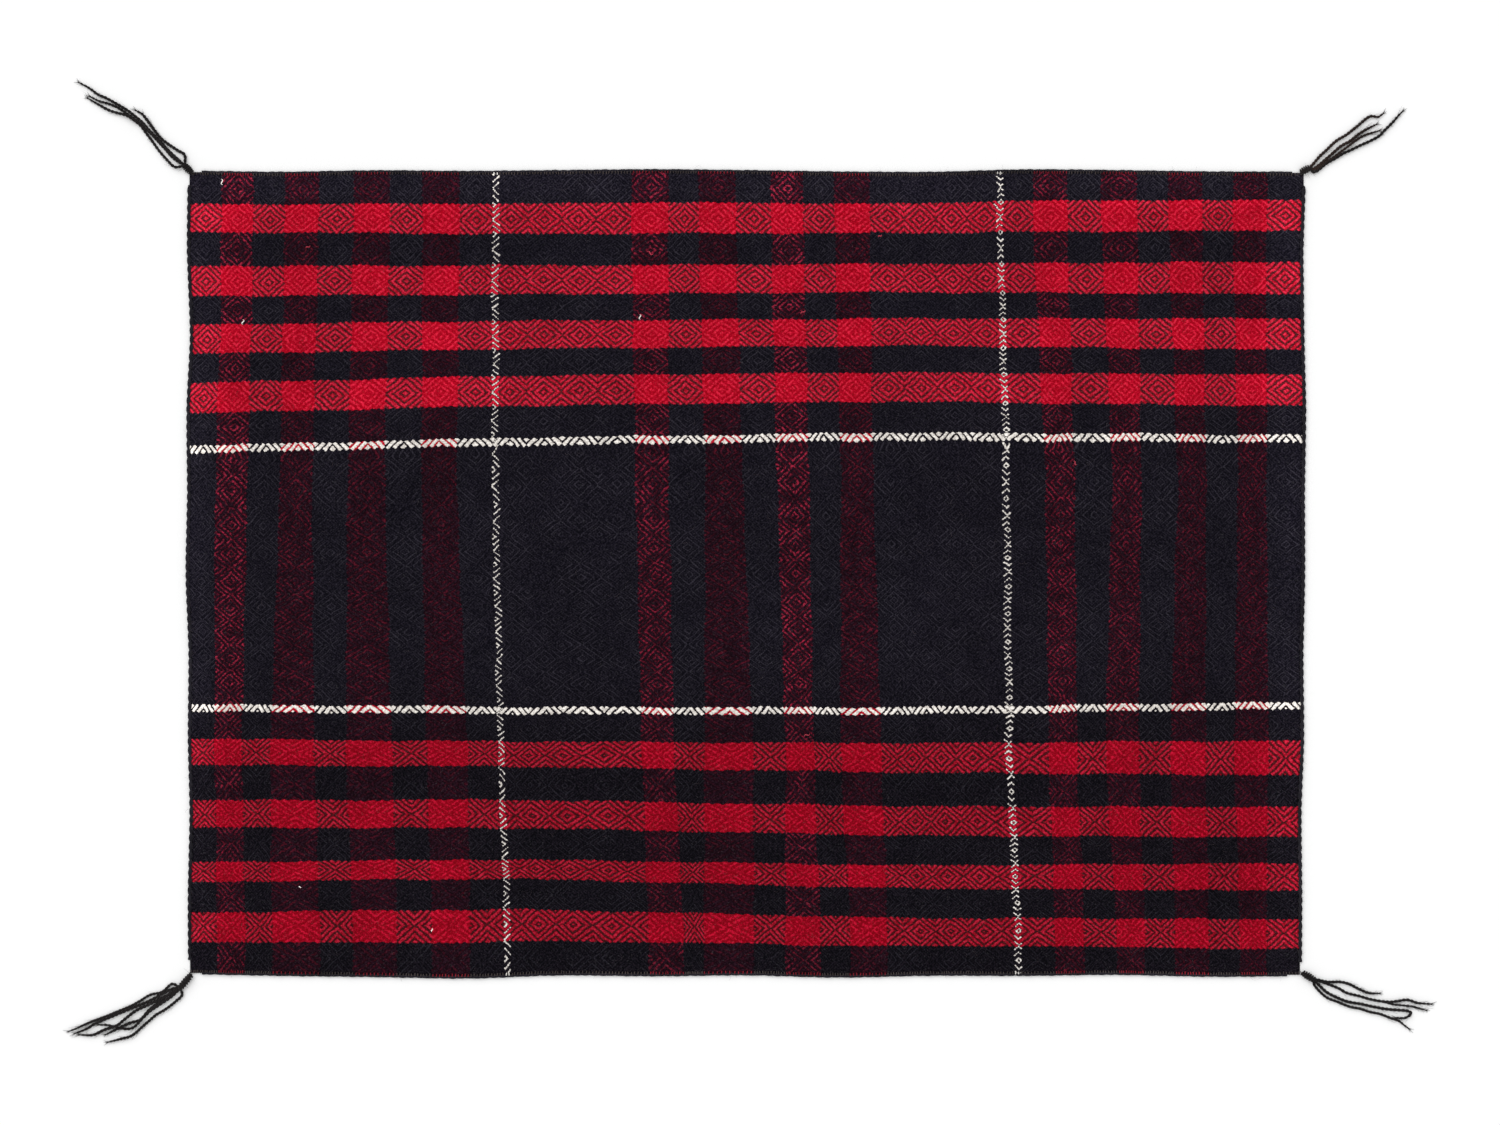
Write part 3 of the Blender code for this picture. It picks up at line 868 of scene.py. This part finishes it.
def stripe_plan_group():
    """Which warps and which picks are red or cream, from the tables of the stripes."""
    tree, given, gives = new_group(
        "stripe_plan",
        {"Warp": "Float", "Pick": "Float"},
        {
            "Red Warp": "Float",
            "Red Shows": "Float",
            "Cream Warp": "Float",
            "Red Weft": "Float",
            "Cream Weft": "Float",
            "Lower": "Float",
        },
    )
    warp, pick = given["Warp"], given["Pick"]
    cell = calc(tree, "FLOOR", calc(tree, "DIVIDE", calc(tree, "ADD", warp, 0.5), CELL))
    tree.links.new(red_cells(tree, cell, RED_CELLS_PERIOD), gives["Red Warp"])
    shows = 0.0
    for stripe in WARP_STRIPES:
        here = calc(tree, "COMPARE", cell, float(stripe["cell"]), 0.5)
        shows = calc(tree, "MULTIPLY_ADD", here, stripe["shows"], shows)
    tree.links.new(shows, gives["Red Shows"])
    cream = [near(tree, warp, middle, WHITE_THREADS / 2) for middle in WHITE_WARPS]
    tree.links.new(calc(tree, "ADD", *cream), gives["Cream Warp"])
    sums = {"Red Weft": 0.0, "Cream Weft": 0.0}
    for stripe in WEFT_STRIPES:
        kind = "Cream Weft" if stripe["picks"] == WHITE_THREADS else "Red Weft"
        middle = stripe["pick"] + stripe["picks"] / 2
        sums[kind] = calc(tree, "ADD", sums[kind], near(tree, pick, middle, stripe["picks"] / 2))
    for kind, value in sums.items():
        tree.links.new(value, gives[kind])
    tree.links.new(soft_step(tree, pick, LOWER_START - 60.0, LOWER_START + 20.0), gives["Lower"])
    return tree


def handspun_group():
    """Uneven wool: a tone that wavers from fibre scale up to a hand's width, and fine fuzz to raise."""
    tree, given, gives = new_group(
        "handspun_wool",
        {"Place": "Vector", "Waver": "Float", "Fuzz Scale": "Float"},
        {"Tone": "Float", "Fuzz": "Float", "Speck": "Float"},
    )
    fine = noise(tree, given["Place"], given["Fuzz Scale"], 3.0, roughness=0.6)
    broad = noise(tree, given["Place"], 38.0, 3.0)
    slow = noise(tree, given["Place"], 7.0, 1.0)
    sway = calc(tree, "ADD", calc(tree, "ADD", fine, broad), slow)
    around_zero = calc(tree, "SUBTRACT", sway, 1.5)
    tone = calc(tree, "ADD", 1.0, calc(tree, "MULTIPLY", around_zero, given["Waver"]))
    tree.links.new(tone, gives["Tone"])
    tree.links.new(fine, gives["Fuzz"])
    specks = noise(tree, given["Place"], calc(tree, "MULTIPLY", given["Fuzz Scale"], 1.3), 0.0)
    tree.links.new(soft_step(tree, specks, 0.70, 0.80), gives["Speck"])
    return tree


def new_wool(name, roughness, sheen):
    """A matt wool material: its Principled BSDF takes the colour and normal given later."""
    material = bpy.data.materials.new(name)
    material.use_nodes = True
    tree = material.node_tree
    shader = tree.nodes["Principled BSDF"]
    shader.inputs["Roughness"].default_value = roughness
    shader.inputs["Specular IOR Level"].default_value = 0.05
    shader.inputs["Sheen Weight"].default_value = sheen
    shader.inputs["Sheen Roughness"].default_value = 0.5
    return material, tree, shader


def raise_surface(tree, shader, height, distance, strength=1.0):
    values = {"Strength": strength, "Distance": distance, "Height": height}
    bump = add_node(tree, "ShaderNodeBump", values)
    tree.links.new(bump.outputs["Normal"], shader.inputs["Normal"])


def object_place(tree):
    return add_node(tree, "ShaderNodeTexCoord").outputs["Object"]


ROUNDNESS = 0.75
WEFT_COVER = 0.17
TWILL_DRAFT = twill_draft_group()
STRIPE_PLAN = stripe_plan_group()
HANDSPUN = handspun_group()


def yarn_colour(tree, red, cream, lower, light):
    """The colour of a yarn from its stripe masks: navy, red or cream, deep in painted shade or bright in
    painted highlight by light.
    """
    navy = mix_colour(tree, lower, mix_colour(tree, light, *NAVY), mix_colour(tree, light, *LOWER_NAVY))
    reds = mix_colour(tree, lower, mix_colour(tree, light, *RED), mix_colour(tree, light, *LOWER_RED))
    return mix_colour(tree, cream, mix_colour(tree, red, navy, reds), mix_colour(tree, light, *CREAM))


def slid_threads(tree, threads):
    """Thread places shifted a little by noise, so that no yarn runs straight or evenly thick."""
    moved = threads
    for scale, reach in ((0.55, (1.2, 1.0, 0.0)), (0.12, (2.4, 1.6, 0.0))):
        uneven = add_node(tree, "ShaderNodeTexNoise", {"Vector": threads, "Scale": scale, "Detail": 2.0})
        values = {0: uneven.outputs["Color"], 1: (0.5, 0.5, 0.5)}
        shift = add_node(tree, "ShaderNodeVectorMath", values, operation="SUBTRACT").outputs["Vector"]
        values = {0: shift, 1: reach, 2: moved}
        moved = add_node(tree, "ShaderNodeVectorMath", values, operation="MULTIPLY_ADD").outputs["Vector"]
    return moved


def web_material():
    """The plaid twill: warp and weft yarns in their stripes, each one uneven along its length.

    A yarn is bright where it leads the other system by much, a painted highlight on its crests, and in a
    fine grain of its fibres, and deep in its hollows, a painted shade. Red warps among navy wefts show only
    in specks, a share of them for each stripe, and are painted plum-dark elsewhere as the shade of their
    recess. Where navy and red cross, fuzz of one lies over the other: plum over red warps, olive under red
    wefts, which are pinker there, and the recessed yarn is painted in shade. Plain navy warps have grey-blue
    crests in streaks, a painted highlight, white wefts cover more than other wefts, with painted shade in
    the gaps along them, and the cloth is rubbed paler along its sides and top.
    """
    material, tree, shader = new_wool("plaid_twill_wool", 0.95, 0.02)
    threads = add_node(tree, "ShaderNodeUVMap", uv_map="threads").outputs["UV"]
    thick = noise(tree, threads, 0.23, 2.0)
    cover = calc(tree, "MULTIPLY_ADD", thick, 0.9, WEFT_COVER - 0.45)
    parts = add_node(tree, "ShaderNodeSeparateXYZ", {0: threads}).outputs
    for stripe in WEFT_STRIPES:
        if stripe["picks"] == WHITE_THREADS:
            here = calc(tree, "COMPARE", parts["Y"], stripe["pick"] + WHITE_THREADS / 2, 2.6)
            cover = calc(tree, "MULTIPLY_ADD", here, 0.16, cover)
    slid = slid_threads(tree, threads)
    draft = place_group(tree, TWILL_DRAFT, {"Threads": slid, "Weft Cover": cover})
    plan = place_group(tree, STRIPE_PLAN, {"Warp": draft["Warp"], "Pick": draft["Pick"]})
    values = {"Place": object_place(tree), "Waver": 0.5, "Fuzz Scale": 430.0}
    spun = place_group(tree, HANDSPUN, values)
    # light: a random fibre grain plus a painted highlight on the crests where a yarn leads; low light is the
    # painted shade of the hollows
    grain = soft_step(tree, spun["Fuzz"], 0.40, 0.62)
    crest = soft_step(tree, draft["Lead"], 0.0, 0.8)
    light = calc(tree, "MULTIPLY_ADD", grain, 0.8, calc(tree, "MULTIPLY_ADD", crest, 0.5, -0.38))
    light = calc(tree, "MAXIMUM", calc(tree, "MINIMUM", light, 1.0), 0.0)
    lower = plan["Lower"]
    red_weft, cream_weft = plan["Red Weft"], plan["Cream Weft"]
    red_warp, cream_warp = plan["Red Warp"], plan["Cream Warp"]
    weft = yarn_colour(tree, red_weft, cream_weft, lower, light)
    warp = yarn_colour(tree, red_warp, cream_warp, lower, light)
    bright_weft = calc(tree, "ADD", red_weft, cream_weft)
    among_navy = calc(tree, "SUBTRACT", 1.0, bright_weft)
    # Navy wefts over red warps are tinted plum by fuzz; the red warps there are painted plum-dark, the shade
    # of their recess, with red specks where they show
    plum = mix_colour(tree, light, *PLUM_SHADE)
    red_over_all = calc(tree, "MULTIPLY", red_warp, among_navy)
    weft = mix_colour(tree, calc(tree, "MULTIPLY", red_over_all, 0.85), weft, plum)
    patches = soft_step(tree, noise(tree, threads, 0.13, 2.0), 0.36, 0.64, (0.25, 1.6))
    floats = soft_step(tree, noise(tree, slid, 0.75, 1.0), 0.38, 0.66, (0.15, 2.1))
    speckle = calc(tree, "MULTIPLY", calc(tree, "MULTIPLY", patches, floats), plan["Red Shows"])
    speckle = calc(tree, "MULTIPLY", speckle, calc(tree, "MULTIPLY_ADD", lower, -0.4, 1.0))
    specked = mix_colour(tree, speckle, plum, WARM_RED_SPECK)
    warp = mix_colour(tree, red_over_all, warp, specked)
    plain_warp = calc(tree, "SUBTRACT", 1.0, calc(tree, "ADD", red_warp, cream_warp))
    # Plain navy warps under red wefts: painted shade of the recessed warp in olive, with red fuzz over it,
    # deeper in the lower part
    dimmed = calc(tree, "MULTIPLY_ADD", lower, -0.4, 1.0)
    olive = scale_colour(tree, mix_colour(tree, light, *OLIVE_SHADE), dimmed)
    red_over_plain = calc(tree, "MULTIPLY", plain_warp, red_weft)
    warp = mix_colour(tree, red_over_plain, warp, olive)
    dimmed = calc(tree, "MULTIPLY_ADD", lower, -0.3, 1.0)
    pink = scale_colour(tree, mix_colour(tree, light, *PINK_FUZZ), dimmed)
    weft = mix_colour(tree, calc(tree, "MULTIPLY", red_over_plain, 0.6), weft, pink)
    # Plain navy warps among navy wefts: a grey-blue painted highlight on their crests, in streaks
    streaks = soft_step(tree, noise(tree, threads, 0.05, 2.0), 0.40, 0.60, (0.15, 0.95))
    dimmed = calc(tree, "MULTIPLY_ADD", lower, -0.35, 1.0)
    grey = scale_colour(tree, mix_colour(tree, crest, *GREY_CREST_HIGHLIGHT), dimmed)
    plain_over_all = calc(tree, "MULTIPLY", plain_warp, among_navy)
    warp = mix_colour(tree, calc(tree, "MULTIPLY", plain_over_all, streaks), warp, grey)
    weft = scale_colour(tree, weft, calc(tree, "MULTIPLY_ADD", plain_over_all, -0.28, 1.0))
    # Red warps among red wefts: painted shade where they lie recessed, deeper in the lower part
    shaded_red_warp = mix_colour(tree, light, *RED_WARP_SHADE)
    shaded_red_warp = scale_colour(tree, shaded_red_warp, dimmed)
    warp = mix_colour(tree, calc(tree, "MULTIPLY", red_warp, red_weft), warp, shaded_red_warp)
    narrow = soft_step(tree, draft["Lead"], 0.16, 0.48)
    cream_shade = calc(tree, "MULTIPLY", cream_warp, calc(tree, "SUBTRACT", 1.0, narrow))
    warp = mix_colour(tree, cream_shade, warp, NAVY[0])
    # Painted shade: deep olive in the crevices along the edges of the cream weft floats
    cream_gap_shade = calc(tree, "SUBTRACT", 1.0, soft_step(tree, draft["Lead"], 0.0, 0.12))
    weft = mix_colour(tree, calc(tree, "MULTIPLY", cream_weft, cream_gap_shade), weft, OLIVE_SHADE[0])
    colour = mix_colour(tree, draft["Weft Shows"], warp, weft)
    colour = scale_colour(tree, colour, spun["Tone"])
    colour = mix_colour(tree, calc(tree, "MULTIPLY", spun["Speck"], 0.12), colour, GREY_SPECK)
    rubbed = calc(tree, "MINIMUM", calc(tree, "PINGPONG", parts["X"], WARPS / 2), parts["Y"])
    rubbed = soft_step(tree, rubbed, 8.0, 30.0, (1.45, 1.0))
    tree.links.new(scale_colour(tree, colour, rubbed), shader.inputs["Base Color"])
    height = calc(tree, "MULTIPLY_ADD", spun["Fuzz"], 0.5, draft["Height"])
    raise_surface(tree, shader, height, 0.8 * MM)
    return material


def plied_material(name, colour, light, sheen=0.12):
    """Dark plied wool of the cords and tassels: fine slanting fibres, painted paler on their raised ridges as
    a highlight.
    """
    material, tree, shader = new_wool(name, 0.88, sheen)
    threads = add_node(tree, "ShaderNodeUVMap", uv_map="threads").outputs["UV"]
    parts = add_node(tree, "ShaderNodeSeparateXYZ", {0: threads}).outputs
    slant = calc(tree, "MULTIPLY_ADD", parts["X"], 1 / (1.6 * MM), calc(tree, "MULTIPLY", parts["Y"], 3.0))
    fibre = calc(tree, "PINGPONG", slant, 0.5)
    spun = place_group(tree, HANDSPUN, {"Place": object_place(tree), "Waver": 1.2, "Fuzz Scale": 1400.0})
    # Painted highlight: the light colour on the fibre ridges that the bump raises
    base = mix_colour(tree, calc(tree, "MULTIPLY", fibre, 0.9), colour, light)
    base = scale_colour(tree, base, spun["Tone"])
    tree.links.new(base, shader.inputs["Base Color"])
    height = calc(tree, "ADD", fibre, spun["Fuzz"])
    raise_surface(tree, shader, height, 0.35 * MM)
    return material


def loop_material():
    """The warp loops: red over the red warps, tan-grey elsewhere, rubbed and uneven."""
    material, tree, shader = new_wool("warp_loop_wool", 0.92, 0.1)
    threads = add_node(tree, "ShaderNodeUVMap", uv_map="threads").outputs["UV"]
    warp = add_node(tree, "ShaderNodeSeparateXYZ", {0: threads}).outputs["X"]
    plan = place_group(tree, STRIPE_PLAN, {"Warp": calc(tree, "FLOOR", warp), "Pick": 8.0})
    spun = place_group(tree, HANDSPUN, {"Place": object_place(tree), "Waver": 1.6, "Fuzz Scale": 900.0})
    plain = mix_colour(tree, plan["Red Warp"], (0.055, 0.042, 0.040), (0.20, 0.008, 0.018))
    colour = mix_colour(tree, plan["Cream Warp"], plain, CREAM[1])
    tree.links.new(scale_colour(tree, colour, spun["Tone"]), shader.inputs["Base Color"])
    raise_surface(tree, shader, spun["Fuzz"], 0.3 * MM)
    return material


def lint_material(name, colour):
    material, tree, shader = new_wool(name, 0.9, 0.1)
    spun = place_group(tree, HANDSPUN, {"Place": object_place(tree), "Waver": 0.8, "Fuzz Scale": 1500.0})
    base = mix_colour(tree, 0.0, colour, colour)
    tree.links.new(scale_colour(tree, base, spun["Tone"]), shader.inputs["Base Color"])
    raise_surface(tree, shader, spun["Fuzz"], 0.2 * MM)
    return material


def make_floor():
    """A plain near-white floor, part of the stage."""
    floor = make_mesh("floor", [(-9, -9, 0), (9, -9, 0), (9, 9, 0), (-9, 9, 0)], [(0, 1, 2, 3)])
    material = bpy.data.materials.new("plain_floor")
    material.use_nodes = True
    shader = material.node_tree.nodes["Principled BSDF"]
    shader.inputs["Base Color"].default_value = (0.93, 0.93, 0.93, 1.0)
    shader.inputs["Roughness"].default_value = 0.9
    shader.inputs["Specular IOR Level"].default_value = 0.0
    floor.data.materials.append(material)


def make_light():
    """Soft even light from all round, and a wide soft source from the upper left."""
    world = bpy.data.worlds.new("studio")
    world.use_nodes = True
    background = world.node_tree.nodes["Background"]
    background.inputs["Color"].default_value = (1.0, 1.0, 1.0, 1.0)
    background.inputs["Strength"].default_value = 0.82
    bpy.context.scene.world = world
    light = bpy.data.lights.new("window", "SUN")
    light.energy = 1.25
    light.angle = math.radians(50)
    source = bpy.data.objects.new("window", light)
    source.rotation_euler = (math.radians(-38), math.radians(-30), 0)
    bpy.context.scene.collection.objects.link(source)


def make_camera():
    """Straight above the frame's middle, as far off as a long lens shows the photograph's width."""
    lens = bpy.data.cameras.new("camera")
    lens.lens = 85.0
    lens.sensor_width = 36.0
    width = PHOTO_SIZE[0] * METRES_PER_PIXEL
    camera = bpy.data.objects.new("camera", lens)
    distance = width * lens.lens / lens.sensor_width
    camera.location = (world_x(PHOTO_SIZE[0] / 2), world_y(PHOTO_SIZE[1] / 2), distance + WEB_TOP)
    bpy.context.scene.collection.objects.link(camera)
    bpy.context.scene.camera = camera


def dress():
    """Makes every piece with its finish, hides the CAD node that each stands in for, and hangs all under the
    root.
    """
    plaid = web_material()
    # The second colour of each plied wool is its painted highlight on the fibre ridges
    navy_cord = plied_material("navy_cord_wool", (0.0060, 0.0052, 0.0085), (0.040, 0.036, 0.050))
    black_yarn = plied_material("black_tassel_wool", (0.0055, 0.0045, 0.0050), (0.034, 0.027, 0.026))
    brown_yarn = plied_material("brown_black_tassel_wool", (0.012, 0.0065, 0.0055), (0.075, 0.045, 0.036))
    loops = loop_material()
    web = make_web(plaid)
    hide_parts("blanket")
    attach(web, "root")
    borders = []
    for side in ("left", "right"):
        cord = make_side_cord(side, navy_cord)
        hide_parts(f"side_cord_{side}")
        borders.append(cord)
    for end in ("bottom", "top"):
        cord = make_end_cord(end, navy_cord)
        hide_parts(f"end_cord_{end}")
        arches = make_warp_loops(end, loops)
        borders += [cord, arches]
    for corner, tassel in TASSELS.items():
        made = make_tassel(corner, tassel, black_yarn, brown_yarn)
        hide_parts(f"tassel_{corner}")
        borders += made
    extras = [
        make_lint("cream_lint", CREAM_LINT, lint_material("cream_lint_wool", CREAM[1])),
        make_lint("red_slubs", RED_SLUBS, lint_material("red_slub_wool", (0.50, 0.05, 0.08))),
        make_stray_fibres(lint_material("stray_fibre_wool", (0.10, 0.075, 0.085))),
    ]
    for piece in borders + extras:
        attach(piece, "root")


make_floor()
make_light()
make_camera()
bpy.context.scene.view_settings.view_transform = "Standard"
dress()
